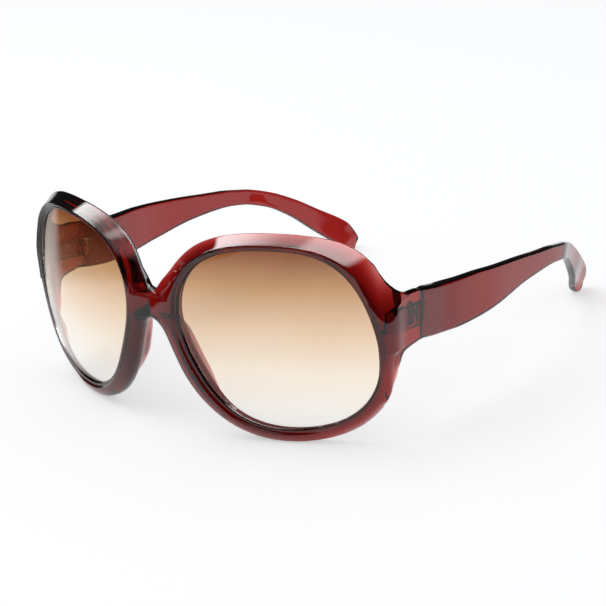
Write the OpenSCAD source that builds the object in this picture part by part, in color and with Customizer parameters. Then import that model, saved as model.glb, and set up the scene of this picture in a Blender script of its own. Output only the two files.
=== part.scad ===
// Oval sunglasses: one moulded translucent front with built-in nose pads, two tinted lenses,
// two temples, and on each side a three-knuckle plastic hinge with its metal screw.
// Everything is drawn as worn, with the temples level, and then set down on a table,
// where it rests on the two rims and the two temple tips. X runs across, the front faces -Y.

/* [Front] */
// Width across the two end pieces
front_w = 145; // [138:1:152]
// Radius of the wrap from side to side
wrap_r = 120; // [108:1:140]
// Outer radius of the corner where an end piece turns back
corner_r = 8.6; // [7:0.1:10]
// Radius of the bow from top to bottom
bow_r = 150; // [120:5:220]
// Lean of the front, its top ahead of its bottom, in degrees
lean = 6.2; // [4:0.2:9]
// Distance from the front of the bridge back to the temple joint
joint_back = 39.9; // [38:0.2:43]

/* [Lens openings] */
// Width of a lens opening, measured along the wrap
open_w = 63.4; // [59:0.2:65]
// Height of a lens opening
open_h = 59.1; // [52:0.2:62]
// Width left between the two openings
nose_gap = 22.2; // [20:0.2:26]
// Thickness of a lens
lens_t = 1.8; // [1.4:0.1:2.2]
// How far a lens reaches into the groove of its rim
lens_bite = 0.5; // [0.3:0.05:0.6]
// Clearance between a lens and its groove
lens_gap = 0.05; // [0.03:0.01:0.1]

/* [Rims] */
// Width of a rim below its lens
rim_w = 4.9; // [4:0.1:6]
// Depth of a rim behind the front face of the lens
rim_back = 3.2; // [2.8:0.1:4.2]
// Height of the lip in front of the lens
lip_h = 1.7; // [1:0.1:2]
// Width of the sloping lip between lens and ridge
lip_w = 1.8; // [1.4:0.1:2.2]
// How far the brow slopes back from the ridge to its top edge
brow_back = 4.2; // [3:0.1:5]
// Radius on the outer edges
edge_r = 0.9; // [0.5:0.05:1.1]
// Height of the bridge at the middle
bridge_h = 8.9; // [8:0.1:12]
// Height of the bridge's upper edge over the middle of the lenses
bridge_top = 12.5; // [11:0.1:15]
// How far the nose pads stand back from the rims
pad_d = 5.4; // [4:0.1:7]

/* [Temples] */
// Height of the joint between an end piece and its temple
joint_h = 16.2; // [14:0.1:18]
// Height of the middle of the joint over the middle of the lenses
joint_up = 7.2; // [5:0.1:9]
// Length of a temple from the joint to its tip
temple_l = 138.3; // [125:0.1:145]
// How far a temple tip hangs under the middle of the joint
ear_drop = 25.6; // [22:0.1:30]
// How far a temple tip comes in from the end piece
tip_in = 20.3; // [10:0.1:22]
// How far the end of a temple tip leans back from square
tip_lean = 20.6; // [0:0.1:26]
// Thickness of an end piece and of the root of a temple
joint_t = 4.2; // [3.8:0.1:5]
// Gap between end piece and temple
joint_gap = 0.1; // [0.06:0.02:0.2]
// Thickness of the bent part of a temple
temple_t = 2.9; // [2.4:0.1:3.4]

/* [Hinges] */
// Height of the three knuckles together
hinge_h = 5.6; // [4.8:0.1:6.4]
// Outer radius of a knuckle
knuckle_r = 1.5; // [1.3:0.05:1.7]
// Radius of the screw's shank
screw_r = 0.7; // [0.5:0.05:0.8]
// Radius of the screw's head
head_r = 1.25; // [1.1:0.05:1.4]
// Height of the screw's head
head_h = 0.6; // [0.4:0.05:0.8]
// Running clearance of the shank in the temple's knuckle
run_gap = 0.05; // [0.03:0.01:0.08]
// Clearance of the shank in the front's knuckles
fit_gap = 0.02; // [0.01:0.01:0.03]
// Gap between one knuckle and the next
knuckle_gap = 0.08; // [0.05:0.01:0.12]
// Thickness of a hinge leaf
leaf_t = 0.9; // [0.7:0.05:1.1]
// Length of the front's hinge leaf from the pin
front_leaf_l = 14; // [9:0.1:14.5]
// Length of the temple's hinge leaf from the pin
temple_leaf_l = 5.8; // [4:0.1:11]
// How deep a leaf is let into the plastic
leaf_sink = 0.45; // [0.3:0.05:0.6]
// Gap around a leaf in its recess
leaf_gap = 0.03; // [0.02:0.01:0.05]
// Distance between a knuckle and the plastic behind it
knuckle_off = 0.15; // [0.1:0.05:0.3]
// Width of the slot in a screw's head
slot_w = 0.35; // [0.25:0.05:0.5]
// Depth of the slot in a screw's head
slot_d = 0.25; // [0.15:0.05:0.35]

/* [Resting] */
// Depth of the flats on which the sunglasses rest
flat_d = 0.2; // [0.1:0.05:0.3]

/* [Hidden] */
$fn = 48;

plastic_colour = [0.55, 0.08, 0.07];
lens_colour = [0.82, 0.62, 0.45];
metal_colour = [0.72, 0.70, 0.68];

// Plan of the front: a wide arc, a tight corner and a straight end piece
half_w = front_w / 2;
corner_turn = asin((half_w - corner_r) / (wrap_r - corner_r));
arc_len = wrap_r * corner_turn * PI / 180;
corner_len = corner_r * (90 - corner_turn) * PI / 180;
turn_len = arc_len + corner_len;
turn_back = wrap_r * (1 - cos(corner_turn)) + corner_r * cos(corner_turn);
joint_len = turn_len + joint_back - turn_back;

function plan_turn(t) = t < arc_len ? t / wrap_r * 180 / PI
    : t < turn_len ? corner_turn + (t - arc_len) / corner_r * 180 / PI : 90;
function plan_x(t) = t < arc_len ? wrap_r * sin(t / wrap_r * 180 / PI)
    : wrap_r * sin(corner_turn) + corner_r * (sin(plan_turn(t)) - sin(corner_turn));
function plan_y(t) = t < arc_len ? wrap_r * (1 - cos(t / wrap_r * 180 / PI))
    : wrap_r * (1 - cos(corner_turn)) + corner_r * (cos(corner_turn) - cos(plan_turn(t)))
        + max(0, t - turn_len);
function ease(s) = s <= 0 ? 0 : s >= 1 ? 1 : s * s * (3 - 2 * s);
// How much of the lean and bow a place has: all of it up to the corner, none on the end piece
function lean_share(t) = ease((turn_len - t) / corner_len);
// A place along the wrap at height v, set back n from the curve, in the worn position
function worn(t, v, n) =
    let (back = plan_y(t) + v * v / (2 * bow_r) * lean_share(t) + n * cos(plan_turn(t)))
    [plan_x(t) - n * sin(plan_turn(t)),
        back - v * sin(lean) * lean_share(t),
        v * cos(lean) + back * sin(lean)];
// Height along the leaning front of a level line at height z on the end piece
function level_v(z) = (z - joint_back * sin(lean)) / cos(lean);

// Smooth value from a table of [place, value, ...] rows
function row_at(table, a, i = 0) =
    i >= len(table) - 2 || a <= table[i + 1][0] ? i : row_at(table, a, i + 1);
function slope_at(table, i, k) =
    i == 0 || i == len(table) - 1 ? 0
    : let (l = (table[i][k] - table[i - 1][k]) / (table[i][0] - table[i - 1][0]),
        r = (table[i + 1][k] - table[i][k]) / (table[i + 1][0] - table[i][0]))
    l * r <= 0 ? 0 : 2 * l * r / (l + r);
function smooth(table, a, k = 1) =
    let (i = row_at(table, a), h = table[i + 1][0] - table[i][0],
        s = min(1, max(0, (a - table[i][0]) / h)),
        p = table[i][k], q = table[i + 1][k],
        m = slope_at(table, i, k) * h, n = slope_at(table, i + 1, k) * h)
    p + m * s + (3 * (q - p) - 2 * m - n) * s * s + (m + n - 2 * (q - p)) * s * s * s;

// Lens opening: an oval, fuller at the upper outer side and drawn in at the nose
lens_mid = (nose_gap + open_w) / 2;
function oval_share(a) = 1 - 0.055 * sin(2 * a) + 0.019 * sin(3 * a)
    - 0.022 * cos(4 * a) - 0.024 * sin(4 * a);
function open_r(a) = oval_share(a) / norm([cos(a) / open_w, sin(a) / open_h]) / 2;

// Outer outline of a rim: its width over that of the rim below the lens, by angle
joint_low_v = level_v(joint_up - joint_h / 2);
joint_high_v = level_v(joint_up + joint_h / 2);
joint_reach = joint_len - lens_mid;
low_corner_a = atan2(joint_low_v, joint_reach);
high_corner_a = atan2(joint_high_v, joint_reach);
bridge_high_a = atan2(bridge_top, -lens_mid);
bridge_low_a = atan2(bridge_top - bridge_h, -lens_mid);
function corner_share(a, reach) = (reach / abs(cos(a)) - open_r(a)) / rim_w;
high_width_shares = [
    [high_corner_a, corner_share(high_corner_a, joint_reach)],
    [high_corner_a + 3.5, 3.05], [high_corner_a + 7, 2.5], [23, 2.16], [27, 1.92],
    [33, 1.75], [39, 1.64], [45, 1.54], [53, 1.34], [64, 1.06], [77, 0.88], [90, 0.84],
    [111, 0.88], [126, 1], [135, 1.13], [142, 1.24], [148, 1.34], [153.2, 1.47],
    [bridge_high_a - 4.5, 1.81], [bridge_high_a - 0.9, 2.05],
    [bridge_high_a, corner_share(bridge_high_a, lens_mid)]];
low_width_shares = [
    [bridge_low_a, corner_share(bridge_low_a, lens_mid)],
    [bridge_low_a + 1.6, 1.86], [bridge_low_a + 4.8, 1.53], [185, 1.39], [192, 1.35], [203, 1.37],
    [213, 1.34], [227, 1.24], [242, 1.14], [256, 1.08],
    [272, 1.01], [291, 0.99], [308, 1.03], [318, 1.07], [324, 1.15], [330, 1.66], [336, 2.12], [341, 2.15],
    [346, 2.05], [349.5, 2.01], [351.5, 2.2], [353, 2.98],
    [360 + low_corner_a, corner_share(low_corner_a, joint_reach)]];

// Stations round the opening: joint face, brow, bridge and lower rim
joint_steps = 3;
brow_steps = 36;
bridge_steps = 3;
lower_steps = 40;
bridge_from = joint_steps + brow_steps;
lower_from = bridge_from + bridge_steps;
stations = lower_from + lower_steps;
// Stations stand closer together towards the end piece and the bridge
crowd_share = 0.09;
function crowd(s) = s - crowd_share * sin(360 * s);
function station_a(i) =
    i < joint_steps ? low_corner_a + (high_corner_a - low_corner_a) * i / joint_steps
    : i < bridge_from
        ? high_corner_a + (bridge_high_a - high_corner_a) * crowd((i - joint_steps) / brow_steps)
    : i < lower_from
        ? bridge_high_a + (bridge_low_a - bridge_high_a) * (i - bridge_from) / bridge_steps
    : bridge_low_a + (360 + low_corner_a - bridge_low_a) * crowd((i - lower_from) / lower_steps);
function rim_width(i) = let (a = station_a(i))
    i <= joint_steps ? rim_w * corner_share(a, joint_reach)
    : i < bridge_from ? rim_w * smooth(high_width_shares, a)
    : i <= lower_from ? rim_w * corner_share(a, lens_mid)
    : rim_w * smooth(low_width_shares, a);

// Shares by angle: the sloping brow facet, the end piece, how far the outer edge lies back,
// the height of the lip and the depth of the nose pad
brow_shares = [[low_corner_a, 0], [high_corner_a + 1.5, 0], [high_corner_a + 3.5, 0.55],
    [40, 0.8], [60, 1], [140, 1], [157, 0.75], [172, 0.1], [180, 0], [360, 0]];
end_shares = [[low_corner_a, 1], [high_corner_a + 2, 1], [24, 0.6], [40, 0.2], [60, 0],
    [330, 0], [344, 0.45], [351, 1], [360, 1]];
back_shares = [[low_corner_a, 0.6], [20, 0.8], [40, 0.95], [60, 1], [140, 1], [152, 0.8],
    [164, 0.4], [175, 0.2], [270, 0.25], [288, 0.4], [312, 0.8], [334, 1.1], [348, 1], [360, 0.6]];
lip_shares = [[low_corner_a, 0.9], [20, 1], [255, 1], [275, 0.7], [292, 0.32], [335, 0.3],
    [350, 0.6], [360, 0.9]];
pad_shares = [[low_corner_a, 0], [bridge_high_a, 0], [bridge_low_a - 3, 0.08], [bridge_low_a, 0.3],
    [bridge_low_a + 4, 0.78], [186, 0.98], [194, 1], [204, 0.8], [214, 0.4], [223, 0.1],
    [230, 0], [360, 0]];

// One section through the rim: [outward from the lens, set back] pairs, from the lens
// over the lip and the front face, round the outer edge, along the back and round the groove
front_steps = 4;
back_steps = 6;
groove_d = lens_bite + lens_gap;
bead_share = 0.55;
inner_share = 0.4;
end_rise_share = 1.6;
pad_crest_share = 0.5;
pad_fall_share = 0.75;
function face_share(s, brow, end) =
    brow * s + (1 - brow) * (end * ease(end_rise_share * s) + (1 - end) * s * s);
function pad_share(s) = ease(s / pad_crest_share)
    - pad_fall_share * ease((s - pad_crest_share) / (1 - pad_crest_share));
function section(i) =
    let (a = station_a(i), w = rim_width(i), brow = smooth(brow_shares, a),
        end = smooth(end_shares, a), lip = lip_h * smooth(lip_shares, a),
        pad = pad_d * smooth(pad_shares, a),
        flat_end = i <= joint_steps || (i >= bridge_from && i <= lower_from),
        side_w = flat_end ? w : w - edge_r,
        outer_n = (1 - end) * (brow_back * smooth(back_shares, a) - lip_h),
        back_n = rim_back + (joint_t - rim_back) * end,
        rear_n = max(back_n, outer_n + 2 * edge_r))
    concat(
        [[0, -lens_gap], [lip_w / 2, -lip * bead_share], [lip_w, -lip]],
        [for (k = [1:front_steps])
            let (s = k / (front_steps + 1))
            [lip_w + (side_w - lip_w) * s, -lip + (outer_n + lip) * face_share(s, brow, end)]],
        [[side_w, outer_n], [w, (outer_n + rear_n) / 2], [side_w, rear_n]],
        [for (k = [1:back_steps])
            let (s = k / back_steps)
            [side_w + (edge_r - side_w) * s, rear_n + (back_n - rear_n) * s + pad * pad_share(s)]],
        [[edge_r * inner_share, back_n], [0, lens_t + 2 * groove_d], [0, lens_t + lens_gap],
            [groove_d, lens_t + lens_gap], [groove_d, -lens_gap]]);
section_n = front_steps + back_steps + 11;
edge_j = front_steps + 3;

// Where point j of section i lies along the wrap and in height
function on_edge(j) = j >= edge_j && j <= edge_j + 2;
function spot(i, j, d) =
    let (a = station_a(i), r = open_r(a) + d, rounded = j == edge_j || j == edge_j + 2)
    rounded && i == 0 ? [joint_len, joint_low_v + edge_r]
    : rounded && i == joint_steps ? [joint_len, joint_high_v - edge_r]
    : rounded && i == bridge_from ? [0, bridge_top - edge_r]
    : rounded && i == lower_from ? [0, bridge_top - bridge_h + edge_r]
    : on_edge(j) && i > bridge_from && i < lower_from ? [0, r * sin(a)]
    : [lens_mid + r * cos(a), r * sin(a)];
front_points = [for (i = [0:stations - 1])
    let (profile = section(i))
    for (j = [0:section_n - 1])
        let (place = spot(i, j, profile[j][0]))
        worn(place[0], place[1], profile[j][1])];

// Faces of the right half and, in mirror image, of the left one; they share the middle points
half_n = stations * section_n;
function on_middle(i, j) = i >= bridge_from && i <= lower_from && on_edge(j);
function front_index(side, i, j) =
    let (m = i % stations, n = j % section_n)
    (side == 0 || on_middle(m, n) ? 0 : half_n) + m * section_n + n;
function open_face(i, j) = i >= bridge_from && i < lower_from && j >= edge_j && j < edge_j + 2;
front_faces = [for (side = [0, 1], i = [0:stations - 1], j = [0:section_n - 1])
    let (p = front_index(side, i, j), q = front_index(side, i + 1, j),
        r = front_index(side, i + 1, j + 1), s = front_index(side, i, j + 1))
    if (!open_face(i, j))
        for (face = side == 0 ? [[p, q, r], [p, r, s]] : [[r, q, p], [s, r, p]]) face];

// Lens: rings from its middle out to the opening and into the groove
lens_shares = [0.3, 0.6, 0.84, 1];
lens_rings = len(lens_shares) + 1;
lens_side_n = 1 + lens_rings * stations;
function lens_ring(k, n) = [for (i = [0:stations - 1])
    let (a = station_a(i), r = k < lens_rings ? open_r(a) * lens_shares[k - 1] : open_r(a) + lens_bite)
    worn(lens_mid + r * cos(a), r * sin(a), n)];
lens_points = [for (n = [0, lens_t])
    for (p = concat([worn(lens_mid, 0, n)], [for (k = [1:lens_rings]) each lens_ring(k, n)])) p];
function lens_index(side, k, i) =
    side * lens_side_n + (k == 0 ? 0 : 1 + (k - 1) * stations + i % stations);
lens_faces = concat(
    [for (side = [0, 1], i = [0:stations - 1])
        let (p = lens_index(side, 0, i), q = lens_index(side, 1, i), r = lens_index(side, 1, i + 1))
        side == 0 ? [p, q, r] : [r, q, p]],
    [for (side = [0, 1], k = [1:lens_rings - 1], i = [0:stations - 1])
        let (p = lens_index(side, k, i), q = lens_index(side, k + 1, i),
            r = lens_index(side, k + 1, i + 1), s = lens_index(side, k, i + 1))
        for (face = side == 0 ? [[p, q, r], [p, r, s]] : [[r, q, p], [s, r, p]]) face],
    [for (i = [0:stations - 1])
        let (p = lens_index(0, lens_rings, i), q = lens_index(1, lens_rings, i),
            r = lens_index(1, lens_rings, i + 1), s = lens_index(0, lens_rings, i + 1))
        for (face = [[p, q, r], [p, r, s]]) face]);

// Temple, by share of its length from the joint: how far in and up its middle lies,
// its height, and how much of the way it has thinned
temple_shares = [[0, 0, 0, 1, 0], [0.085, 0, -0.035, 0.997, 0], [0.148, -0.028, -0.041, 0.996, 0.4],
    [0.215, -0.06, -0.024, 0.964, 0.8], [0.296, -0.089, 0.002, 0.844, 1], [0.444, -0.045, 0.052, 0.558, 1],
    [0.556, 0.009, 0.057, 0.415, 1], [0.652, 0.093, 0.016, 0.36, 1],
    [0.726, 0.268, -0.079, 0.365, 1], [0.8, 0.459, -0.261, 0.422, 1],
    [0.874, 0.641, -0.507, 0.524, 1], [0.95, 0.866, -0.769, 0.657, 1], [1, 1, -1, 0.735, 1]];
temple_steps = 48;
tip_from_share = 0.94;
lean_from_share = 0.86;
// Sections stand closer together towards the tip
tip_crowd_share = 0.25;
tip_end_share = 0.06;
tip_thin_share = 0.4;
edge_share = 0.3;
bevel_share = 0.3;
slope_step_share = 0.004;
function temple_mid(s) = [half_w - tip_in * smooth(temple_shares, s, 1),
    joint_back + joint_gap + (temple_l - joint_gap) * s,
    joint_up + ear_drop * smooth(temple_shares, s, 2)];
function temple_section(s) =
    let (mid = temple_mid(s),
        run = temple_mid(min(1, s + slope_step_share)) - temple_mid(max(0, s - slope_step_share)),
        slope = atan2(run[2], run[1]) - tip_lean * ease((s - lean_from_share) / (1 - lean_from_share)),
        up = s == 0 ? [0, 1] : [-sin(slope), cos(slope)],
        tip = max(0, (s - tip_from_share) / (1 - tip_from_share)),
        full = max(tip_end_share, sqrt(1 - tip * tip)),
        h = joint_h / 2 * smooth(temple_shares, s, 3) * full,
        t = (joint_t + (temple_t - joint_t) * smooth(temple_shares, s, 4))
            * (tip_thin_share + (1 - tip_thin_share) * full),
        e = t * edge_share, b = e * bevel_share)
    [for (c = [[0, h - e], [b, h - b], [e, h], [t - e, h], [t - b, h - b], [t, h - e],
            [t, e - h], [t - b, b - h], [t - e, -h], [e, -h], [b, b - h], [0, e - h]])
        [mid[0] - c[0], mid[1] + up[0] * c[1], mid[2] + up[1] * c[1]]];
temple_n = len(temple_section(0));
function temple_share(u) = u + tip_crowd_share * sin(180 * u);
temple_points = [for (k = [0:temple_steps]) each temple_section(temple_share(k / temple_steps))];
temple_faces = concat(
    [for (k = [0:temple_steps - 1], c = [0:temple_n - 1])
        let (p = k * temple_n + c, q = k * temple_n + (c + 1) % temple_n)
        for (face = [[p, p + temple_n, q + temple_n], [p, q + temple_n, q]]) face],
    [[for (c = [0:temple_n - 1]) c]],
    [[for (c = [temple_n - 1:-1:0]) temple_steps * temple_n + c]]);

// Setting down: turned about X until rims and temple tips are equally low, with small flats
reach = temple_l + joint_back;
settle_steps = 4;
function height(p, turn) = p[2] * cos(turn) - p[1] * sin(turn);
function lowest(points, turn) = min([for (p = points) height(p, turn)]);
function settle(turn, times) = times == 0 ? turn
    : settle(turn + asin((lowest(temple_points, turn) - lowest(front_points, turn)) / reach), times - 1);
rest_turn = settle(0, settle_steps);
rest_up = -lowest(front_points, rest_turn) - flat_d;
function turned_y(p) = p[1] * cos(rest_turn) + p[2] * sin(rest_turn);
rest_back = (min([for (p = front_points) turned_y(p)]) + max([for (p = temple_points) turned_y(p)])) / 2;
function stood(p) = [p[0], turned_y(p) - rest_back, height(p, rest_turn) + rest_up];
front_mesh = [for (side = [1, -1]) for (p = front_points) let (q = stood(p)) [side * q[0], q[1], q[2]]];
temple_mesh = [for (p = temple_points) stood(p)];
lens_mesh = [for (p = lens_points) stood(p)];
module below_table() {
    translate([-front_w, -reach, -reach]) cube([2 * front_w, 2 * reach, reach]);
}
module rest() {
    translate([0, -rest_back, rest_up]) rotate([-rest_turn, 0, 0]) children();
}

// Hinge: the pin stands upright beside the inner faces, in the middle of the joint
inner_x = half_w - joint_t;
pin_x = inner_x - knuckle_off - knuckle_r;
pin_y = joint_back + joint_gap / 2;
knuckle_h = (hinge_h - 2 * knuckle_gap) / 3;
leaf_from = knuckle_r + knuckle_off;
slot_l = 2 * head_r + slot_w;
module at_pin() {
    rest() translate([pin_x, pin_y, joint_up]) children();
}

// A leaf of the given length towards the temple (1) or the front (-1), with knuckles at some heights
module leaf(side, length, heights, bore_r) {
    skin = inner_x - pin_x;
    color(plastic_colour) difference() {
        union() {
            translate([skin + leaf_sink - leaf_t, side < 0 ? -length : leaf_from, -hinge_h / 2])
                cube([leaf_t, length - leaf_from, hinge_h]);
            for (h = heights) translate([0, 0, h - knuckle_h / 2]) {
                cylinder(r = knuckle_r, h = knuckle_h);
                translate([0, side < 0 ? -leaf_from - leaf_t / 2 : 0, 0])
                    cube([skin - leaf_gap, leaf_from + leaf_t / 2, knuckle_h]);
            }
        }
        translate([0, 0, -hinge_h]) cylinder(r = bore_r, h = 2 * hinge_h);
    }
}

// The recess of a leaf in the plastic
module recess(side, length) {
    at_pin() translate([inner_x - pin_x + leaf_sink - leaf_t - leaf_gap,
            side < 0 ? -length - leaf_gap : leaf_from - leaf_gap, -hinge_h / 2 - leaf_gap])
        cube([leaf_t + 2 * leaf_gap, length - leaf_from + 2 * leaf_gap, hinge_h + 2 * leaf_gap]);
}

module front_frame() {
    color(plastic_colour) difference() {
        polyhedron(front_mesh, front_faces, convexity = 8);
        recess(-1, front_leaf_l);
        mirror([1, 0, 0]) recess(-1, front_leaf_l);
        below_table();
    }
}

module temple() {
    color(plastic_colour) difference() {
        polyhedron(temple_mesh, temple_faces, convexity = 6);
        recess(1, temple_leaf_l);
        below_table();
    }
}

module lens() {
    color(lens_colour) polyhedron(lens_mesh, lens_faces, convexity = 4);
}

module front_hinge() {
    at_pin() leaf(-1, front_leaf_l, [knuckle_gap + knuckle_h, -knuckle_gap - knuckle_h], screw_r + fit_gap);
}

module temple_hinge() {
    at_pin() leaf(1, temple_leaf_l, [0], screw_r + run_gap);
}

module hinge_screw() {
    color(metal_colour) at_pin() difference() {
        union() {
            translate([0, 0, -hinge_h / 2]) cylinder(r = screw_r, h = hinge_h + fit_gap + head_h / 2);
            translate([0, 0, hinge_h / 2 + fit_gap]) cylinder(r = head_r, h = head_h);
        }
        translate([-slot_l / 2, -slot_w / 2, hinge_h / 2 + fit_gap + head_h - slot_d])
            cube([slot_l, slot_w, head_h]);
    }
}

module left() {
    mirror([1, 0, 0]) children();
}

front_frame();
lens();  // lens_right
left() lens();  // lens_left
temple();  // temple_right
left() temple();  // temple_left
front_hinge();  // front_hinge_right
left() front_hinge();  // front_hinge_left
temple_hinge();  // temple_hinge_right
left() temple_hinge();  // temple_hinge_left
hinge_screw();  // hinge_screw_right
left() hinge_screw();  // hinge_screw_left
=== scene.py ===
import math

import bmesh
import bpy
import numpy as np
from mathutils import Matrix


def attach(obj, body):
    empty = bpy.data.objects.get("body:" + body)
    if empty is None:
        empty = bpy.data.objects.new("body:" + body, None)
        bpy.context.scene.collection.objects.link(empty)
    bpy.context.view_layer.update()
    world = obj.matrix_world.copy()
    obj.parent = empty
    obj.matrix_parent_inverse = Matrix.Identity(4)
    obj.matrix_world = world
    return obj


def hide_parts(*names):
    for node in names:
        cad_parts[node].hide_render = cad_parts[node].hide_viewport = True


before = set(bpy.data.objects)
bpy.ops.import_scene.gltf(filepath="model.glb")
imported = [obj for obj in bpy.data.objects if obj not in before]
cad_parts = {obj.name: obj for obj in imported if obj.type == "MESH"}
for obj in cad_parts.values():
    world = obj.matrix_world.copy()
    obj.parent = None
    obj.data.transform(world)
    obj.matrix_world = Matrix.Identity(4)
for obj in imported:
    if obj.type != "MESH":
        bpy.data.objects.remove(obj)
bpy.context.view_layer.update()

MM = 0.001

# Named values of the solids, in millimetres and degrees
FRONT_W, WRAP_R, CORNER_R, BOW_R, LEAN, JOINT_BACK = 145, 120, 8.6, 150, 6.2, 39.9
OPEN_W, OPEN_H, NOSE_GAP, LENS_T, LENS_BITE, LENS_GAP = 63.4, 59.1, 22.2, 1.8, 0.5, 0.05
RIM_W, RIM_BACK, LIP_H, LIP_W, BROW_BACK, EDGE_R = 4.9, 3.2, 1.7, 1.8, 4.2, 0.9
BRIDGE_H, BRIDGE_TOP, PAD_D = 8.9, 12.5, 5.4
JOINT_H, JOINT_UP, TEMPLE_L, EAR_DROP, TIP_IN, TIP_LEAN = 16.2, 7.2, 138.3, 25.6, 20.3, 20.6
JOINT_T, JOINT_GAP, TEMPLE_T = 4.2, 0.1, 2.9
REST_TURN, REST_UP, REST_BACK = 4.55954, 33.8444, 88.0891

HALF_W = FRONT_W / 2
CORNER_TURN = math.degrees(math.asin((HALF_W - CORNER_R) / (WRAP_R - CORNER_R)))
ARC_LEN = WRAP_R * math.radians(CORNER_TURN)
CORNER_LEN = CORNER_R * math.radians(90 - CORNER_TURN)
TURN_LEN = ARC_LEN + CORNER_LEN
COS_CORNER = math.cos(math.radians(CORNER_TURN))
SIN_CORNER = math.sin(math.radians(CORNER_TURN))
JOINT_LEN = TURN_LEN + JOINT_BACK - WRAP_R * (1 - COS_CORNER) - CORNER_R * COS_CORNER
SIN_LEAN, COS_LEAN = math.sin(math.radians(LEAN)), math.cos(math.radians(LEAN))
LENS_MID = (NOSE_GAP + OPEN_W) / 2


def ease(s):
    """A smooth step from 0 to 1."""
    s = np.clip(s, 0, 1)
    return s * s * (3 - 2 * s)


def plan(t):
    """Direction, across and back of the place t along the wrap."""
    turn = np.where(t < ARC_LEN, t / WRAP_R,
                    np.minimum(math.radians(CORNER_TURN) + (t - ARC_LEN) / CORNER_R, math.pi / 2))
    x = np.where(t < ARC_LEN, WRAP_R * np.sin(t / WRAP_R),
                 WRAP_R * SIN_CORNER + CORNER_R * (np.sin(turn) - SIN_CORNER))
    y = np.where(t < ARC_LEN, WRAP_R * (1 - np.cos(t / WRAP_R)),
                 WRAP_R * (1 - COS_CORNER) + CORNER_R * (COS_CORNER - np.cos(turn))
                 + np.maximum(0, t - TURN_LEN))
    return turn, x, y


def stood(p):
    """From the worn position to where the sunglasses stand, in metres."""
    turn = math.radians(REST_TURN)
    x, y, z = p[..., 0], p[..., 1], p[..., 2]
    return np.stack([x, y * math.cos(turn) + z * math.sin(turn) - REST_BACK,
                     np.maximum(0, z * math.cos(turn) - y * math.sin(turn) + REST_UP)], -1) * MM


def worn(t, v, n):
    """A place along the wrap at height v, set back n, where the sunglasses stand."""
    turn, x, y = plan(t)
    share = ease((TURN_LEN - t) / CORNER_LEN)
    back = y + v * v / (2 * BOW_R) * share + n * np.cos(turn)
    return stood(np.stack([x - n * np.sin(turn), back - v * SIN_LEAN * share,
                           v * COS_LEAN + back * SIN_LEAN], -1))


def smooth(table, at, column=1):
    """A smooth line through a table's rows, read at a place in its first column."""
    table = np.array(table, float)
    x, y = table[:, 0], table[:, column]
    slope = np.diff(y) / np.diff(x)
    m = np.zeros(len(x))
    both = slope[:-1] * slope[1:]
    m[1:-1] = np.where(both > 0, 2 * both / np.where(both > 0, slope[:-1] + slope[1:], 1), 0)
    i = np.clip(np.searchsorted(x, at) - 1, 0, len(x) - 2)
    h = x[i + 1] - x[i]
    s = np.clip((at - x[i]) / h, 0, 1)
    p, q, a, b = y[i], y[i + 1], m[i] * h, m[i + 1] * h
    return p + a * s + (3 * (q - p) - 2 * a - b) * s**2 + (a + b - 2 * (q - p)) * s**3


# How the openings depart from an ellipse: waves that come two, three and four times round it
TWICE, THRICE, SQUARE, SLANT = -0.055, 0.019, -0.022, -0.024


def open_r(a):
    """From the middle of an opening to its edge at angle a; 0 degrees is towards the joint."""
    r = np.radians(a)
    share = (1 + TWICE * np.sin(2 * r) + THRICE * np.sin(3 * r)
             + SQUARE * np.cos(4 * r) + SLANT * np.sin(4 * r))
    return share / np.hypot(np.cos(r) / OPEN_W, np.sin(r) / OPEN_H) / 2


def level_v(z):
    """Height along the leaning front of a place at the joint that is z above the lenses' middle."""
    return (z - JOINT_BACK * SIN_LEAN) / COS_LEAN


LOW_V, HIGH_V = level_v(JOINT_UP - JOINT_H / 2), level_v(JOINT_UP + JOINT_H / 2)
REACH = JOINT_LEN - LENS_MID
LOW_A = math.degrees(math.atan2(LOW_V, REACH))
HIGH_A = math.degrees(math.atan2(HIGH_V, REACH))
TOP_A = math.degrees(math.atan2(BRIDGE_TOP, -LENS_MID))
UNDER_A = math.degrees(math.atan2(BRIDGE_TOP - BRIDGE_H, -LENS_MID))


def corner_share(a, reach):
    """Width of the rim at angle a, in shares of RIM_W, where it ends at the joint or the middle."""
    return float((reach / abs(math.cos(math.radians(a))) - open_r(a)) / RIM_W)


# Width of the rim by angle, in shares of RIM_W, over the lens and under it
HIGH_WIDTHS = [
    [HIGH_A, corner_share(HIGH_A, REACH)], [HIGH_A + 3.5, 3.05], [HIGH_A + 7, 2.5], [23, 2.16],
    [27, 1.92], [33, 1.75], [39, 1.64], [45, 1.54], [53, 1.34], [64, 1.06], [77, 0.88], [90, 0.84],
    [111, 0.88], [126, 1], [135, 1.13], [142, 1.24], [148, 1.34], [153.2, 1.47], [TOP_A - 4.5, 1.81],
    [TOP_A - 0.9, 2.05], [TOP_A, corner_share(TOP_A, LENS_MID)]]
LOW_WIDTHS = [
    [UNDER_A, corner_share(UNDER_A, LENS_MID)], [UNDER_A + 1.6, 1.86], [UNDER_A + 4.8, 1.53],
    [185, 1.39], [192, 1.35], [203, 1.37], [213, 1.34], [227, 1.24], [242, 1.14], [256, 1.08],
    [272, 1.01], [291, 0.99], [308, 1.03], [318, 1.07], [324, 1.15], [330, 1.66], [336, 2.12], [341, 2.15],
    [346, 2.05], [349.5, 2.01], [351.5, 2.2], [353, 2.98], [360 + LOW_A, corner_share(LOW_A, REACH)]]
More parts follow.
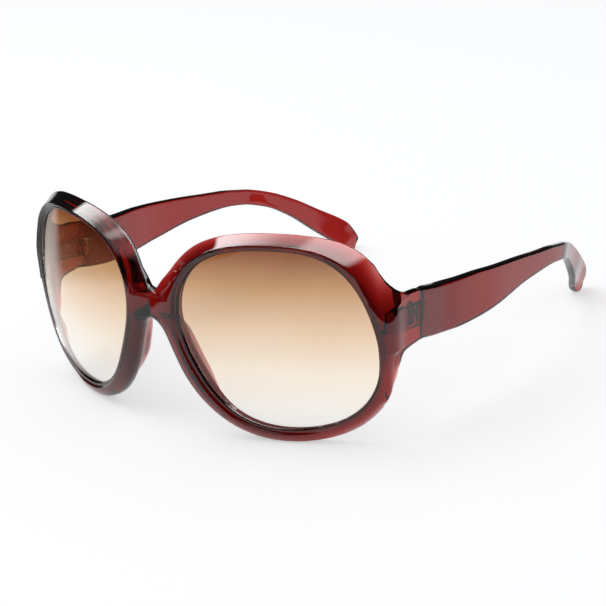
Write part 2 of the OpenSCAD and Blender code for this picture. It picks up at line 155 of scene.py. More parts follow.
# Share by angle of the brow's slope, of the end piece, of the brow's depth and of the lip
BROWS = [[LOW_A, 0], [HIGH_A + 1.5, 0], [HIGH_A + 3.5, 0.7], [32, 0.95], [50, 1], [140, 1],
         [157, 0.75], [172, 0.1], [180, 0], [360, 0]]
ENDS = [[LOW_A, 1], [HIGH_A + 2, 1], [24, 0.6], [40, 0.2], [60, 0], [330, 0], [344, 0.45], [351, 1],
        [360, 1]]
BACKS = [[LOW_A, 0.6], [20, 0.8], [40, 0.95], [60, 1], [140, 1], [152, 0.8], [164, 0.4], [175, 0.2],
         [270, 0.25], [288, 0.4], [312, 0.8], [334, 1.1], [348, 1], [360, 0.6]]
LIPS = [[LOW_A, 0.9], [20, 1], [255, 1], [275, 0.7], [292, 0.32], [335, 0.3], [350, 0.6], [360, 0.9]]
# Share by angle of the nose pad's depth; its lower end lies deeper than in the solids
PADS = [[LOW_A, 0], [TOP_A, 0], [UNDER_A - 3, 0.08], [UNDER_A, 0.3], [UNDER_A + 4, 0.78], [186, 1],
        [194, 1.08], [204, 1.1], [214, 0.9], [223, 0.5], [232, 0.15], [240, 0], [360, 0]]


# Steps round each opening: at the joint, over the lens, at the bridge and under the lens
FRONT_STEPS, LENS_STEPS = (42, 230, 8, 260), (8, 130, 6, 150)
CROWDING = 0.09


def crowd(count):
    """Steps from 0 to 1 that lie closer together at both ends."""
    s = np.arange(count) / count
    return s - CROWDING * np.sin(2 * np.pi * s)


def stations(joint, brow, bridge, lower):
    """Angles round the opening, with the number of the zone each lies in."""
    parts = [LOW_A + (HIGH_A - LOW_A) * np.arange(joint) / joint,
             HIGH_A + (TOP_A - HIGH_A) * crowd(brow),
             TOP_A + (UNDER_A - TOP_A) * np.arange(bridge) / bridge,
             UNDER_A + (360 + LOW_A - UNDER_A) * crowd(lower)]
    return np.concatenate(parts), np.repeat([0, 1, 2, 3], [joint, brow, bridge, lower])


def rim_width(a, zone):
    """Width of the rim at each station, flat at the joint and at the bridge."""
    to_joint = REACH / np.abs(np.cos(np.radians(a))) - open_r(a)
    to_middle = LENS_MID / np.abs(np.cos(np.radians(a))) - open_r(a)
    return np.select([zone == 0, zone == 1, zone == 2],
                     [to_joint, RIM_W * smooth(HIGH_WIDTHS, a), to_middle], RIM_W * smooth(LOW_WIDTHS, a))


# The brow's flat facet runs on over each end piece and meets its upright side in a crease.
# Each mm of set back is taken to lead at least FACET_LEAST mm down to the facet
FACET_AZ, FACET_EL, FACET_AT = 70.6, 18.8, np.array([0.0727, -0.0565, 0.0475])
FACET_LEAST = 0.3


def direction(azimuth, elevation):
    """Unit vector; azimuth 0 is in front of the sunglasses and 90 on their right in the picture."""
    az, el = math.radians(azimuth), math.radians(elevation)
    return np.array([math.sin(az) * math.cos(el), -math.cos(az) * math.cos(el), math.sin(el)])


def rightward(azimuth):
    """Unit vector to the right, seen from that azimuth."""
    az = math.radians(azimuth)
    return np.array([math.cos(az), math.sin(az), 0])


def faceted(p, n):
    """Set back n, or more where the end piece's facet lies deeper."""
    normal = direction(FACET_AZ, FACET_EL)
    at_zero = worn(p[:, 0], p[:, 1], np.zeros(len(p)))
    step = worn(p[:, 0], p[:, 1], np.ones(len(p))) - at_zero
    return np.maximum(n, (at_zero - FACET_AT) @ normal / np.maximum(-(step @ normal), FACET_LEAST * MM))


# How much thinner than in the solids each end piece gets on its inner side towards the joint,
# with half of it in the band that holds its hinge half
END_THIN, THIN_FROM, BAND_H, BAND_FADE, BAND_SHARE = 1.7, TURN_LEN - 3, 6.4, 0.6, 0.5


def thinned(p, n, share=1.0):
    """Set back n, or less towards the joint by the given share of the thinning."""
    ahead = 1 - np.clip((p[:, 0] - THIN_FROM) / (JOINT_LEN - THIN_FROM), 0, 1)
    level = p[:, 1] * COS_LEAN + plan(p[:, 0])[2] * SIN_LEAN
    beside = ease((np.abs(level - JOINT_UP) - BAND_H / 2) / BAND_FADE)
    return n - END_THIN * share * (BAND_SHARE + (1 - BAND_SHARE) * beside) * (1 - ahead ** 2)


def new_mesh(name, points, faces, material):
    """A new smooth-shaded object."""
    mesh = bpy.data.meshes.new(name)
    mesh.from_pydata([tuple(p) for p in points], [], [tuple(f) for f in faces])
    mesh.validate()
    mesh.polygons.foreach_set("use_smooth", [True] * len(mesh.polygons))
    mesh.materials.append(material)
    obj = bpy.data.objects.new(name, mesh)
    bpy.context.scene.collection.objects.link(obj)
    return obj


JOIN_WITHIN, SHARP_FROM = 2e-6, 50


def clean(obj):
    """Joins points that share a place, turns all faces outwards and marks the sharp edges."""
    bm = bmesh.new()
    bm.from_mesh(obj.data)
    bmesh.ops.remove_doubles(bm, verts=bm.verts, dist=JOIN_WITHIN)
    bmesh.ops.dissolve_degenerate(bm, edges=bm.edges, dist=JOIN_WITHIN / 4)
    bmesh.ops.recalc_face_normals(bm, faces=bm.faces)
    bm.to_mesh(obj.data)
    bm.free()
    obj.data.set_sharp_from_angle(angle=math.radians(SHARP_FROM))


# Materials


def node(tree, kind, place, **values):
    """A new node at a place in the tree, with its settings."""
    made = tree.nodes.new(kind)
    made.location = place
    for key, value in values.items():
        setattr(made, key, value)
    return made


def noise(tree, scale, detail, place):
    """Noise over the piece's own coordinates."""
    coords = node(tree, "ShaderNodeTexCoord", (place[0] - 400, place[1]))
    made = node(tree, "ShaderNodeTexNoise", place)
    made.inputs["Scale"].default_value = scale
    made.inputs["Detail"].default_value = detail
    tree.links.new(coords.outputs["Object"], made.inputs["Vector"])
    return made


def ramp(tree, stops, place, source):
    """A colour ramp with the given stops, driven by source."""
    made = node(tree, "ShaderNodeValToRGB", place)
    bar = made.color_ramp
    while len(bar.elements) < len(stops):
        bar.elements.new(0.5)
    for element, (at, colour) in zip(bar.elements, stops):
        element.position = at
        element.color = tuple(colour) + (1,)
    tree.links.new(source, made.inputs["Fac"])
    return made


def greys(*stops):
    """Stops of a ramp between plain values."""
    return [(at, (value,) * 3) for at, value in stops]


def bare_material(name):
    """A new material with nothing in it but its output."""
    made = bpy.data.materials.new(name)
    made.use_nodes = True
    tree = made.node_tree
    tree.nodes.clear()
    out = node(tree, "ShaderNodeOutputMaterial", (600, 0))
    return made, tree, out


# What the plastic lets through, and the dark colour of painted shade that takes its place where the shade
# attribute is 1: painted shade on the bevel beside each lens and, more weakly, on the ledge next to it and
# on the end piece's facet
TINT_LOW, TINT_HIGH, PAINTED_SHADE_COLOUR = (0.94, 0.35, 0.36), (0.98, 0.41, 0.42), (0.03, 0.012, 0.012, 1)
DEEP_COLOUR, DEEP_DENSITY = (0.72, 0.17, 0.11, 1), 1350
# Height of a lens's lowest and highest point as it stands, how much haze shifts its tint, and the
# tint from bottom to top
LENS_FOOT, LENS_HEAD, LENS_HAZE = 0.004, 0.063, 0.06
LENS_TINT = [(0.1, (0.99, 0.98, 0.95)), (0.36, (0.98, 0.87, 0.73)), (0.6, (0.83, 0.60, 0.41)),
             (0.82, (0.56, 0.31, 0.145)), (1.0, (0.26, 0.08, 0.025))]
STEEL = (0.72, 0.71, 0.69)


def plastic_material():
    """Translucent wine-red plastic: clear enough to glow where it is thin, dark where it is thick, with
    painted shade mixed into its tint by the shade attribute.
    """
    made, tree, out = bare_material("wine_plastic")
    shader = node(tree, "ShaderNodeBsdfPrincipled", (250, 0))
    shader.inputs["IOR"].default_value = 1.53
    shader.inputs["Transmission Weight"].default_value = 1.0
    cloud = noise(tree, 26, 3, (-500, 200))
    tint = ramp(tree, [(0.3, TINT_LOW), (0.7, TINT_HIGH)], (-250, 200), cloud.outputs["Fac"])
    # Painted shade: the shade attribute mixes a dark colour into the tint beside the lenses, on the ledges
    # and on the facets
    lip = node(tree, "ShaderNodeAttribute", (-250, 450), attribute_name="painted_shade")
    painted_shade_mix = node(tree, "ShaderNodeMix", (50, 300), data_type="RGBA")
    tree.links.new(lip.outputs["Fac"], painted_shade_mix.inputs["Factor"])
    tree.links.new(tint.outputs["Color"], painted_shade_mix.inputs[6])
    painted_shade_mix.inputs[7].default_value = PAINTED_SHADE_COLOUR
    tree.links.new(painted_shade_mix.outputs[2], shader.inputs["Base Color"])
    rubs = noise(tree, 700, 5, (-500, -150))
    rough = ramp(tree, greys((0.35, 0.02), (0.75, 0.06)), (-250, -150), rubs.outputs["Fac"])
    tree.links.new(rough.outputs["Color"], shader.inputs["Roughness"])
    ripple = noise(tree, 90, 2, (-500, -450))
    bump = node(tree, "ShaderNodeBump", (-100, -450))
    bump.inputs["Strength"].default_value = 0.06
    bump.inputs["Distance"].default_value = 0.0004
    tree.links.new(ripple.outputs["Fac"], bump.inputs["Height"])
    tree.links.new(bump.outputs["Normal"], shader.inputs["Normal"])
    tree.links.new(shader.outputs["BSDF"], out.inputs["Surface"])
    volume = node(tree, "ShaderNodeVolumeAbsorption", (250, -400))
    volume.inputs["Color"].default_value = DEEP_COLOUR
    volume.inputs["Density"].default_value = DEEP_DENSITY
    tree.links.new(volume.outputs["Volume"], out.inputs["Volume"])
    return made


def lens_material():
    """Tinted lens: brown at the top, fading to almost clear at the bottom."""
    made, tree, out = bare_material("gradient_lens")
    shader = node(tree, "ShaderNodeBsdfPrincipled", (250, 0))
    shader.inputs["IOR"].default_value = 1.5
    shader.inputs["Transmission Weight"].default_value = 1.0
    coords = node(tree, "ShaderNodeTexCoord", (-900, 100))
    split = node(tree, "ShaderNodeSeparateXYZ", (-700, 100))
    tree.links.new(coords.outputs["Object"], split.inputs["Vector"])
    height = node(tree, "ShaderNodeMapRange", (-500, 100))
    height.inputs["From Min"].default_value = LENS_FOOT
    height.inputs["From Max"].default_value = LENS_HEAD
    tree.links.new(split.outputs["Z"], height.inputs["Value"])
    haze = noise(tree, 35, 2, (-700, -150))
    lift = node(tree, "ShaderNodeMath", (-350, 0), operation="MULTIPLY_ADD")
    lift.inputs[1].default_value = LENS_HAZE
    tree.links.new(haze.outputs["Fac"], lift.inputs[0])
    tree.links.new(height.outputs["Result"], lift.inputs[2])
    tint = ramp(tree, LENS_TINT, (-150, 100), lift.outputs["Value"])
    tree.links.new(tint.outputs["Color"], shader.inputs["Base Color"])
    smudge = noise(tree, 60, 4, (-500, -350))
    rough = ramp(tree, greys((0.4, 0.0), (0.8, 0.03)), (-250, -350), smudge.outputs["Fac"])
    tree.links.new(rough.outputs["Color"], shader.inputs["Roughness"])
    tree.links.new(shader.outputs["BSDF"], out.inputs["Surface"])
    return made


def metal_material(name, colour, rough_low, rough_high):
    """Plain metal with a fine grain."""
    made, tree, out = bare_material(name)
    shader = node(tree, "ShaderNodeBsdfPrincipled", (250, 0))
    shader.inputs["Metallic"].default_value = 1.0
    grain = noise(tree, 900, 4, (-500, 0))
    dull = tuple(c * 0.85 for c in colour)
    tint = ramp(tree, [(0.3, dull), (0.7, colour)], (-250, 150), grain.outputs["Fac"])
    tree.links.new(tint.outputs["Color"], shader.inputs["Base Color"])
    rough = ramp(tree, greys((0.3, rough_low), (0.7, rough_high)), (-250, -150), grain.outputs["Fac"])
    tree.links.new(rough.outputs["Color"], shader.inputs["Roughness"])
    tree.links.new(shader.outputs["BSDF"], out.inputs["Surface"])
    return made


PLASTIC = plastic_material()
LENS = lens_material()
SCREW = metal_material("screw_metal", STEEL, 0.16, 0.28)


# Front: one moulding, with fine sections round both openings

# The lip's section from the lens outwards: share of its width, share of its height
LIP_ROWS = ((0, 0), (0.1, 0.26), (0.24, 0.44), (0.38, 0.5), (0.5, 0.47), (0.6, 0.5), (0.8, 0.74),
            (0.95, 0.95), (1, 1))
# The back's inner edge: share of its rounding, share of its drop, and the most it drops
INSIDE_ROWS, INSIDE_DROP = ((0.55, 0.12), (0.2, 0.45), (0, 0.9)), 0.9
# Steps over the face, round the outer edge and along the back
FACE_STEPS, EDGE_STEPS, BACK_STEPS = 30, 14, 15
# A nose pad rises up to half of the back's width and falls again to a quarter of its depth
PAD_CREST, PAD_FALL = 0.5, 0.75
# How early the end piece's face rises, the least run of a face, and rounds of fitting its edge
END_RISE, RUN_LEAST, EDGE_ROUNDS = 1.6, 0.3, 4
# Width of the ledge beside the lip, in shares of the brow, and how softly it bends into the slope
LEDGE, LEDGE_BEND = 0.16, 0.003
# Painted shade on the ledge, on the facet, and on the lip at its rim and at its bevel
LEDGE_SHADE, FACET_SHADE, LIP_SHADES = 0.9, 0.4, ([0.24, 1], [1, 0.25])


def past_ledge(s):
    """Share of the brow's fall at share s of its width, after a narrow ledge beside the lip."""
    def bent(x):
        return (x - LEDGE + np.sqrt((x - LEDGE) ** 2 + LEDGE_BEND)) / 2
    return (bent(s) - bent(0)) / (bent(1) - bent(0))


def front_grid(side):
    """Points and faces of one half of the front, and how much painted shade darkens each point's tint."""
    a, zone = stations(*FRONT_STEPS)
    w = rim_width(a, zone)
    count = len(a)
    rad = np.radians(a)
    ray = np.stack([np.cos(rad), np.sin(rad)], -1)
    inner = np.array([LENS_MID, 0]) + ray * open_r(a)[:, None]
    outline = np.array([LENS_MID, 0]) + ray * (open_r(a) + w)[:, None]
    tangent = np.roll(outline, -1, 0) - np.roll(outline, 1, 0)
    for corner in np.flatnonzero(np.diff(zone, prepend=zone[-1])):
        tangent[corner] = (-1, 0) if zone[corner] in (1, 2) else (1, 0)
    tangent[-1] = (1, 0)
    tangent /= np.linalg.norm(tangent, axis=1)[:, None]
    inward = np.stack([-tangent[:, 1], tangent[:, 0]], -1)
    brow, end = smooth(BROWS, a), smooth(ENDS, a)
    lip, pad = LIP_H * smooth(LIPS, a), PAD_D * smooth(PADS, a)
    outer_n = (1 - end) * (BROW_BACK * smooth(BACKS, a) - LIP_H)
    back_n = RIM_BACK + (JOINT_T - RIM_BACK) * end
    rear_n = np.maximum(back_n, outer_n + 2 * EDGE_R)
    mid_n, half_n = (outer_n + rear_n) / 2, (rear_n - outer_n) / 2
    # The rounding of the outer edge starts at the angle at which it carries on the face's slope
    first = np.full(count, -np.pi / 2)
    for _ in range(EDGE_ROUNDS):
        run = np.maximum(w - EDGE_R * (1 - np.cos(first)) - LIP_W, RUN_LEAST)
        slope = (mid_n + half_n * np.sin(first) + lip) / run
        slope = np.maximum(0, slope * (brow / (1 - LEDGE) + 2 * (1 - brow) * (1 - end)))
        first = -np.arctan2(half_n, EDGE_R * slope)

    def edge(turn):
        """Place on the rounded outer edge, flat at the joint and at the bridge."""
        off = EDGE_R * (1 - np.cos(turn))
        p = outline + inward * off[:, None]
        at = zone == 0
        p[at, 0] = JOINT_LEN
        p[at, 1] = np.clip(outline[at, 1], LOW_V + off[at], HIGH_V - off[at])
        at = zone == 2
        p[at, 0] = 0
        p[at, 1] = np.clip(outline[at, 1], BRIDGE_TOP - BRIDGE_H + off[at], BRIDGE_TOP - off[at])
        return p

    rows, shades = [], []
    # Painted shade on the lip, strongest on its bevel beside the lens
    for share, height in LIP_ROWS:
        p = inner + ray * LIP_W * share
        rows.append((p, faceted(p, -LENS_GAP * (height == 0) - lip * height)))
        shades.append(np.full(count, np.interp(share, *LIP_SHADES)))
    ridge = inner + ray * LIP_W
    front_edge, rear_edge = edge(first), edge(np.full(count, np.pi / 2))
    front_n = mid_n + half_n * np.sin(first)
    for s in np.linspace(0, 1, FACE_STEPS + 1)[1:-1]:
        shape = brow * past_ledge(s) + (1 - brow) * (end * ease(END_RISE * s) + (1 - end) * s * s)
        p = ridge + (front_edge - ridge) * s
        n = -lip + (front_n + lip) * shape
        cut = faceted(p, n)
        rows.append((p, cut))
        # Painted shade on the ledge and where the facet cuts deep
        shades.append(np.maximum(brow * LEDGE_SHADE * (s < LEDGE), FACET_SHADE * np.clip(cut - n, 0, 1)))
    arc_from = len(rows)
    for s in np.linspace(0, 1, EDGE_STEPS + 1):
        turn = first + (np.pi / 2 - first) * s
        p = edge(turn)
        n = np.minimum(faceted(p, mid_n + half_n * np.sin(turn)), rear_n)
        rows.append((p, thinned(p, n, (1 + np.sin(turn)) / 2)))
    arc_to = len(rows) - 1
    inside = inner + ray * EDGE_R
    for s in np.linspace(0, 1, BACK_STEPS + 1)[1:]:
        bump = ease(s / PAD_CREST) - PAD_FALL * ease((s - PAD_CREST) / (1 - PAD_CREST))
        p = rear_edge + (inside - rear_edge) * s
        rows.append((p, thinned(p, rear_n + (back_n - rear_n) * s + pad * bump)))
    pad_in, lens_back = back_n + pad * (1 - PAD_FALL), LENS_T + LENS_GAP
    for share, drop in INSIDE_ROWS:
        depth = np.minimum(pad_in - LENS_T - LENS_GAP, INSIDE_DROP)
        rows.append((inner + ray * EDGE_R * share, pad_in - drop * depth))
    rows.append((inner, np.full(count, lens_back)))
    groove = LENS_BITE + LENS_GAP
    rows.append((inner + ray * groove, np.full(count, lens_back)))
    rows.append((inner + ray * groove, np.full(count, -LENS_GAP)))
    points = np.stack([worn(p[:, 0], p[:, 1], np.asarray(n)) for p, n in rows], 1)
    points[..., 0] *= side
    n_rows = len(rows)
    shade = np.stack(shades + [np.zeros(count)] * (n_rows - len(shades)), 1)
    faces = []
    for i in range(count):
        for j in range(n_rows):
            if zone[i] == 2 and arc_from <= j < arc_to:
                continue
            i2, j2 = (i + 1) % count, (j + 1) % n_rows
            face = [i * n_rows + j, i2 * n_rows + j, i2 * n_rows + j2, i * n_rows + j2]
            faces.append(face if side > 0 else face[::-1])
    return points.reshape(-1, 3), faces, shade.ravel()


right_points, right_faces, right_shade = front_grid(1)
left_points, left_faces, left_shade = front_grid(-1)
front = new_mesh("front_moulding", np.vstack([right_points, left_points]),
                 right_faces + [[k + len(right_points) for k in f] for f in left_faces], PLASTIC)
# Painted shade per point, carried to the plastic's material by an attribute
shade = front.data.attributes.new("painted_shade", "FLOAT", "POINT")
shade.data.foreach_set("value", np.concatenate([right_shade, left_shade]))
clean(front)
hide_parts("front_frame")
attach(front, "front")


# Lenses: curved shells held in the grooves

# Rings from the middle of a lens to the opening, how they crowd outwards, and how far the lens
# stops short of its full bite
LENS_RINGS, LENS_CROWD, LENS_SHORT = 24, 0.8, 0.02


def lens_piece(side, name, replaced):
    """One lens: rings of points over its front and its back, closed at the rim."""
    a, _ = stations(*LENS_STEPS)
    count = len(a)
    rad = np.radians(a)
    ray = np.stack([np.cos(rad), np.sin(rad)], -1)
    shares = list(np.linspace(0, 1, LENS_RINGS + 1)[1:] ** LENS_CROWD)
    rings = [open_r(a) * s for s in shares] + [open_r(a) + LENS_BITE - LENS_SHORT]
    points = []
    for n in (0.0, LENS_T):
        points.append(worn(np.array([LENS_MID]), np.array([0.0]), np.array([n])))
        for r in rings:
            points.append(worn(LENS_MID + ray[:, 0] * r, ray[:, 1] * r, np.full(count, n)))
    points = np.vstack(points)
    points[:, 0] *= side
    half = 1 + len(rings) * count
    faces = []
    for base, flip in ((0, False), (half, True)):
        for i in range(count):
            i2 = (i + 1) % count
            fan = [base, base + 1 + i, base + 1 + i2]
            faces.append(fan[::-1] if flip else fan)
            for k in range(len(rings) - 1):
                p, q = base + 1 + k * count, base + 1 + (k + 1) * count
                quad = [p + i, q + i, q + i2, p + i2]
                faces.append(quad[::-1] if flip else quad)
    last = 1 + (len(rings) - 1) * count
    for i in range(count):
        i2 = (i + 1) % count
        faces.append([last + i, half + last + i, half + last + i2, last + i2])
    made = new_mesh(name, points, faces, LENS)
    clean(made)
    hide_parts(replaced)
    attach(made, "front")
    return made


lens_piece(1, "tinted_lens_right", "lens_right")
lens_piece(-1, "tinted_lens_left", "lens_left")


# Temples: tapering, bowed and bent down behind the ears

# Shares of the way back, inward, upward, height and thinning
TEMPLE = [[0, 0, 0, 1, 0], [0.085, 0, -0.035, 0.997, 0], [0.148, -0.028, -0.041, 0.996, 0.4],
          [0.215, -0.06, -0.024, 0.964, 0.8], [0.296, -0.089, 0.002, 0.844, 1],
          [0.444, -0.045, 0.052, 0.558, 1], [0.556, 0.009, 0.057, 0.415, 1], [0.652, 0.093, 0.016, 0.36, 1],
          [0.726, 0.268, -0.079, 0.365, 1], [0.8, 0.459, -0.261, 0.422, 1], [0.874, 0.641, -0.507, 0.524, 1],
          [0.95, 0.866, -0.769, 0.657, 1], [1, 1, -1, 0.735, 1]]
# Sections along the bar and round its tip, where the tip's rounding starts and how long it is,
# where the sections start to lean back, and how long the upright root and its thinner part are
BAR_STEPS, TIP_STEPS, TIP_FROM, TIP_SHARE = 170, 25, 0.94, 0.06
LEAN_FROM, LEAN_SHARE, ROOT_SHARE, THIN_SHARE = 0.86, 0.14, 0.03, 0.028
# Least height and thickness at the very tip, rounding in shares of the thickness, and the step
# over which the bar's direction is taken
TIP_LEAST, TIP_THIN, ROUND_SHARE, DIRECTION_STEP = 0.03, 0.4, 0.3, 0.004
# Steps round each rounded edge, and places between them on the inner and outer face
ROUND_STEPS, FACE_SHARES = 8, (0.6, 0.2, -0.2, -0.6)


def temple_mid(s):
    """Middle of the temple's outer face at share s of its length."""
    return np.stack([HALF_W - TIP_IN * smooth(TEMPLE, s, 1),
                     JOINT_BACK + JOINT_GAP + (TEMPLE_L - JOINT_GAP) * s,
                     JOINT_UP + EAR_DROP * smooth(TEMPLE, s, 2)], -1)


def temple_piece(side, name, replaced, body):
    """One temple: rounded sections along its middle line, closed at both ends."""
    round_tip = np.sin(np.linspace(0, 1, TIP_STEPS + 1)[1:] * np.pi / 2)
    s = np.concatenate([np.linspace(0, TIP_FROM, BAR_STEPS), TIP_FROM + TIP_SHARE * round_tip])
    mid = temple_mid(s)
    run = temple_mid(np.minimum(1, s + DIRECTION_STEP)) - temple_mid(np.maximum(0, s - DIRECTION_STEP))
    slope = np.arctan2(run[:, 2], run[:, 1])
    slope = slope - math.radians(TIP_LEAN) * ease((s - LEAN_FROM) / LEAN_SHARE)
    up_y = -np.sin(slope) * ease(s / ROOT_SHARE)
    up_z = np.sqrt(1 - up_y ** 2)
    tip = np.clip((s - TIP_FROM) / TIP_SHARE, 0, 1)
    full = np.maximum(TIP_LEAST, np.sqrt(1 - tip ** 2))
    h = JOINT_H / 2 * smooth(TEMPLE, s, 3) * full
    t = JOINT_T + (TEMPLE_T - JOINT_T) * smooth(TEMPLE, s, 4)
    t = t * (TIP_THIN + (1 - TIP_THIN) * full) - END_THIN * np.clip(1 - s / THIN_SHARE, 0, 1)
    e = np.minimum(t * ROUND_SHARE, h)
    ring = []
    for cx, cz, start in ((1, 1, 0), (0, 1, 90), (0, -1, 180), (1, -1, 270)):
        for turn in np.linspace(start, start + 90, ROUND_STEPS):
            c, sn = math.cos(math.radians(turn)), math.sin(math.radians(turn))
            depth = (t - e) * cx + e * (1 - cx) + e * c
            ring.append((depth, cz * (h - e) + e * sn))
        if start in (90, 270):
            for share in FACE_SHARES:
                face_depth = np.zeros_like(t) if start == 90 else t
                ring.append((face_depth, (h - e) * share * (1 if start == 90 else -1)))
    points = np.stack([stood(np.stack([mid[:, 0] - d, mid[:, 1] + up_y * q, mid[:, 2] + up_z * q], -1))
                       for d, q in ring], 1)
    points[..., 0] *= side
    n_ring, count = len(ring), len(s)
    faces = []
    for i in range(count - 1):
        for j in range(n_ring):
            j2 = (j + 1) % n_ring
            faces.append([i * n_ring + j, i * n_ring + j2, (i + 1) * n_ring + j2, (i + 1) * n_ring + j])
    faces.append(list(range(n_ring)))
    faces.append([(count - 1) * n_ring + j for j in range(n_ring)])
    made = new_mesh(name, points.reshape(-1, 3), faces, PLASTIC)
    clean(made)
    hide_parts(replaced)
    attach(made, body)
    return made


temple_piece(1, "temple_bar_right", "temple_right", "right_arm")
temple_piece(-1, "temple_bar_left", "temple_left", "left_arm")

for name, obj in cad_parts.items():
    if "hinge" in name:
        for slot in obj.material_slots:
            slot.material = SCREW if "screw" in name else PLASTIC


# Floor, light and camera


def math_node(tree, operation, first, second=None):
    """The result of an operation on one or two values or sockets."""
    made = node(tree, "ShaderNodeMath", (0, 0), operation=operation)
    for socket, value in zip(made.inputs, (first, second)):
        if isinstance(value, bpy.types.NodeSocket):
            tree.links.new(value, socket)
        elif value is not None:
            socket.default_value = value
    return made.outputs["Value"]


def ramped(tree, source, low, high, at_low=0.0, at_high=1.0):
    """A smooth step from at_low, where the source is low, to at_high."""
    made = node(tree, "ShaderNodeMapRange", (0, 0), interpolation_type="SMOOTHSTEP")
    for name, value in (("From Min", low), ("From Max", high), ("To Min", at_low), ("To Max", at_high)):
        made.inputs[name].default_value = value
    tree.links.new(source, made.inputs["Value"])
    return made.outputs["Result"]


def ray_kinds(tree):
    """Camera rays, the glossy and transmission rays after them up to the first matt surface, and
    all transmission rays."""
    path = node(tree, "ShaderNodeLightPath", (-900, 400))
    clear = math_node(tree, "LESS_THAN", path.outputs["Diffuse Depth"], 0.5)
    through = path.outputs["Is Transmission Ray"]
    mirrored = math_node(tree, "MAXIMUM", path.outputs["Is Glossy Ray"], through)
    return path.outputs["Is Camera Ray"], math_node(tree, "MULTIPLY", mirrored, clear), through


# The glow that camera, mirrored and transmitted rays see on the floor, its paint, and half its width
FLOOR_GLOW, FLOOR_PAINT, FLOOR_HALF = 0.5, 0.78, 4
floor_material, tree, out = bare_material("pale_floor")
paint = node(tree, "ShaderNodeBsdfDiffuse", (0, 100))
paint.inputs["Color"].default_value = (FLOOR_PAINT, FLOOR_PAINT, FLOOR_PAINT, 1)
glow = node(tree, "ShaderNodeEmission", (0, -100))
seen, mirrored, through = ray_kinds(tree)
tree.links.new(math_node(tree, "MAXIMUM", seen, mirrored), glow.inputs["Strength"])
glow.inputs["Color"].default_value = (FLOOR_GLOW, FLOOR_GLOW, FLOOR_GLOW, 1)
both = node(tree, "ShaderNodeAddShader", (250, 0))
tree.links.new(paint.outputs["BSDF"], both.inputs[0])
tree.links.new(glow.outputs["Emission"], both.inputs[1])

# A dark patch painted into the floor in front on the left, a painted dark reflection: only mirrored rays see
# it
DARK_REFLECTION_X, DARK_REFLECTION_Y, DARK_REFLECTION_PAINT = (-0.19, -0.14), (-0.08, -0.05), (0.02, 0.02, 0.02, 1)
spot = node(tree, "ShaderNodeSeparateXYZ", (-700, -400))
tree.links.new(node(tree, "ShaderNodeTexCoord", (-900, -400)).outputs["Object"], spot.inputs["Vector"])
painted_reflection_mask = math_node(tree, "MULTIPLY", ramped(tree, spot.outputs["X"], *DARK_REFLECTION_X, 1.0, 0.0),
                 ramped(tree, spot.outputs["Y"], *DARK_REFLECTION_Y, 1.0, 0.0))
painted_reflection_mask = math_node(tree, "MULTIPLY", painted_reflection_mask, math_node(tree, "SUBTRACT", mirrored, through))
shown = node(tree, "ShaderNodeMixShader", (420, 0))
tree.links.new(painted_reflection_mask, shown.inputs["Fac"])
tree.links.new(both.outputs["Shader"], shown.inputs[1])
# The dark colour of the painted reflection
dark_reflection_shader = node(tree, "ShaderNodeBsdfDiffuse", (250, -250))
dark_reflection_shader.inputs["Color"].default_value = DARK_REFLECTION_PAINT
tree.links.new(dark_reflection_shader.outputs["BSDF"], shown.inputs[2])
tree.links.new(shown.outputs["Shader"], out.inputs["Surface"])
corners = [(x * FLOOR_HALF, y * FLOOR_HALF, 0) for x, y in ((-1, -1), (1, -1), (1, 1), (-1, 1))]
floor = new_mesh("floor", corners, [(0, 1, 2, 3)], floor_material)


# Cosine to a panel's middle from which it can show, and the least that places on it are divided by
PANEL_FROM, PANEL_LEAST = 0.1, 0.05


def soft_panel(tree, ray, azimuth, elevation, across, upward, glow):
    """A glowing panel in the sky; across and upward give where each pair of its edges starts and ends."""
    centre, side = direction(azimuth, elevation), rightward(azimuth)
    parts = []
    for axis in (centre, side, np.cross(centre, side)):
        dot = node(tree, "ShaderNodeVectorMath", (0, 0), operation="DOT_PRODUCT")
        dot.inputs[1].default_value = tuple(axis)
        tree.links.new(ray, dot.inputs[0])
        parts.append(dot.outputs["Value"])
    ahead = math_node(tree, "MAXIMUM", parts[0], PANEL_LEAST)
    lit = math_node(tree, "MULTIPLY", math_node(tree, "GREATER_THAN", parts[0], PANEL_FROM), glow)
    for part, edges in ((parts[1], across), (parts[2], upward)):
        beside = math_node(tree, "DIVIDE", part, ahead)
        lit = math_node(tree, "MULTIPLY", lit, ramped(tree, beside, edges[0], edges[1]))
        lit = math_node(tree, "MULTIPLY", lit, ramped(tree, beside, edges[2], edges[3], 1.0, 0.0))
    return lit


# The world: even light on matt surfaces, a white background, and for gloss and clear plastic
# a white horizon, a dark band over it, a ceiling that is brighter behind the sunglasses and two
# large soft panels. For rays through plastic or lens the white horizon reaches HORIZON_LIFT higher
WHITE, SKY_COLOUR, SKY_STRENGTH = 0.98, (0.95, 0.97, 1.0, 1), 0.5
HORIZON, HORIZON_LIFT, BAND = (0.0, 0.07), 0.16, 0.04
CEILING_Z, CEILING_Y, CEILING_GLOW = (0.68, 0.86), (-0.35, 0.35), (1.2, 3.6)
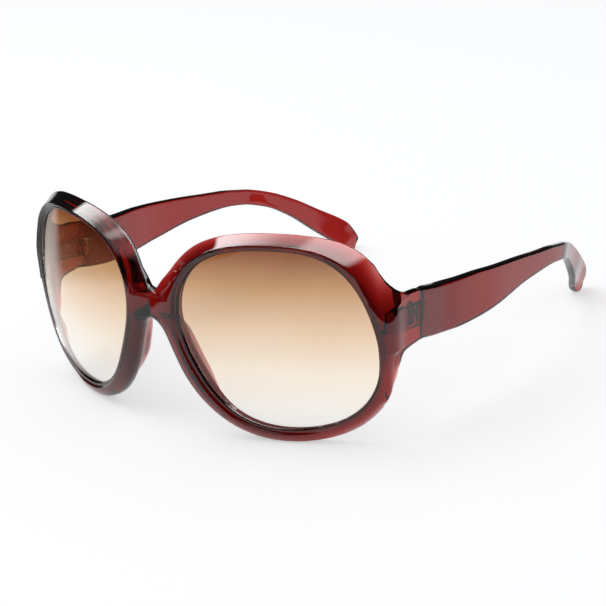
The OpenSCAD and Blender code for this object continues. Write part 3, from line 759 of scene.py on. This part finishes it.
# Each panel's azimuth, elevation, edges across, edges upward and glow
LEFT_PANEL = (-100, 55, (-0.33, -0.29, 0.5, 0.7), (-0.37, -0.30, -0.16, 0.3), 10.5)
RIGHT_PANEL = (92, 72, (-0.45, -0.2, 0.6, 0.8), (-0.62, -0.34, 0.4, 0.8), 9.5)
world = bpy.data.worlds.new("studio")
bpy.context.scene.world = world
world.use_nodes = True
tree = world.node_tree
tree.nodes.clear()
sky = node(tree, "ShaderNodeBackground", (0, 300))
sky.inputs["Color"].default_value = SKY_COLOUR
sky.inputs["Strength"].default_value = SKY_STRENGTH
white = node(tree, "ShaderNodeBackground", (0, -300))
white.inputs["Strength"].default_value = WHITE
coords = node(tree, "ShaderNodeTexCoord", (-900, 0))
ray = coords.outputs["Generated"]
split = node(tree, "ShaderNodeSeparateXYZ", (-700, 0))
tree.links.new(ray, split.inputs["Vector"])
seen, mirrored, through = ray_kinds(tree)
low = math_node(tree, "SUBTRACT", split.outputs["Z"], math_node(tree, "MULTIPLY", through, HORIZON_LIFT))
horizon = ramped(tree, low, *HORIZON, 1.0, BAND)
ceiling = math_node(tree, "MULTIPLY", ramped(tree, split.outputs["Z"], *CEILING_Z),
                    ramped(tree, split.outputs["Y"], *CEILING_Y, *CEILING_GLOW))
panels = math_node(tree, "MAXIMUM", soft_panel(tree, ray, *LEFT_PANEL), soft_panel(tree, ray, *RIGHT_PANEL))
bright = math_node(tree, "MAXIMUM", math_node(tree, "MAXIMUM", horizon, ceiling), panels)
room = node(tree, "ShaderNodeBackground", (0, 0))
tree.links.new(bright, room.inputs["Strength"])
by_ray = node(tree, "ShaderNodeMixShader", (250, 150))
tree.links.new(mirrored, by_ray.inputs["Fac"])
tree.links.new(sky.outputs["Background"], by_ray.inputs[1])
tree.links.new(room.outputs["Background"], by_ray.inputs[2])
whole = node(tree, "ShaderNodeMixShader", (450, 0))
tree.links.new(seen, whole.inputs["Fac"])
tree.links.new(by_ray.outputs["Shader"], whole.inputs[1])
tree.links.new(white.outputs["Background"], whole.inputs[2])
tree.links.new(whole.outputs["Shader"], node(tree, "ShaderNodeOutputWorld", (650, 0)).inputs["Surface"])


def placed(name, data, axes, at):
    """A new lamp or camera at a place, with its own axes along the three given ones."""
    made = bpy.data.objects.new(name, data)
    rows = [[axis[k] for axis in axes] + [at[k]] for k in range(3)]
    made.matrix_world = Matrix(rows + [[0, 0, 0, 1]])
    bpy.context.scene.collection.objects.link(made)
    return made


# The lamp: a large square on the left that gives the soft shadow and isn't mirrored
LAMP_AZ, LAMP_EL, LAMP_AWAY, LAMP_SIZE, LAMP_POWER = -60, 62, 1.2, 0.9, 3.3
LAMP_AIM = np.array([0.0, -0.03, 0.03])
key = bpy.data.lights.new("key", "AREA")
key.shape = "SQUARE"
key.size = LAMP_SIZE
key.energy = LAMP_POWER
away, across = direction(LAMP_AZ, LAMP_EL), rightward(LAMP_AZ)
lamp = placed("key", key, (across, np.cross(away, across), away), LAMP_AIM + LAMP_AWAY * away)
lamp.visible_glossy = False

# The camera, fitted to the photograph
AZIMUTH, ELEVATION, ROLL = 38.298, 19.917, -3.276
DISTANCE, FOCAL_PX, FRAME_PX, SENSOR_W = 0.57826, 1864.54, 606, 36
TARGET = np.array([0.03537, 0.0306 - REST_BACK * MM, 0.03836])
back, level = direction(AZIMUTH, ELEVATION), rightward(AZIMUTH)
upright = np.cross(back, level)
cos_roll, sin_roll = math.cos(math.radians(ROLL)), math.sin(math.radians(ROLL))
camera_data = bpy.data.cameras.new("camera")
camera_data.sensor_width = SENSOR_W
camera_data.sensor_fit = "HORIZONTAL"
camera_data.lens = FOCAL_PX / FRAME_PX * SENSOR_W
camera_data.clip_start, camera_data.clip_end = 0.01, 20
camera_axes = (cos_roll * level + sin_roll * upright, -sin_roll * level + cos_roll * upright, back)
bpy.context.scene.camera = placed("camera", camera_data, camera_axes, TARGET + DISTANCE * back)
bpy.context.scene.view_settings.view_transform = "Standard"
